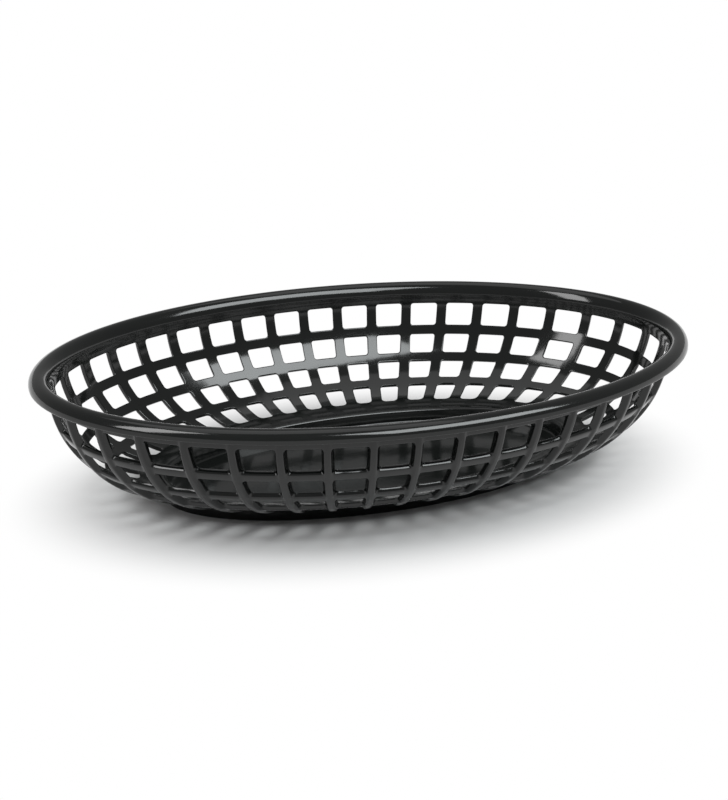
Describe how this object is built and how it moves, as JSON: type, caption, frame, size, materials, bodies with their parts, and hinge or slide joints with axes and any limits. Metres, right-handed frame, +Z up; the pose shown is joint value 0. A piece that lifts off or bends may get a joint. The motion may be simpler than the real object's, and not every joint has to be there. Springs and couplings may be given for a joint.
{
  "type": "fast food basket",
  "caption": "Oval fast food basket in glossy black plastic, with a rolled rim, a curved lattice wall of ribs and level bars, and a shallow pan floor.",
  "frame": {"origin": "under the middle of the basket, on the table that it stands on", "axes": "+X along the length of the oval, +Y across its width, +Z up to the open mouth"},
  "size_m": [0.238, 0.158, 0.048],
  "materials": {
    "black_plastic": "injection moulded black plastic with a polished gloss"
  },
  "bodies": {
    "root": {"basket": "black_plastic"}
  },
  "joints": []
}
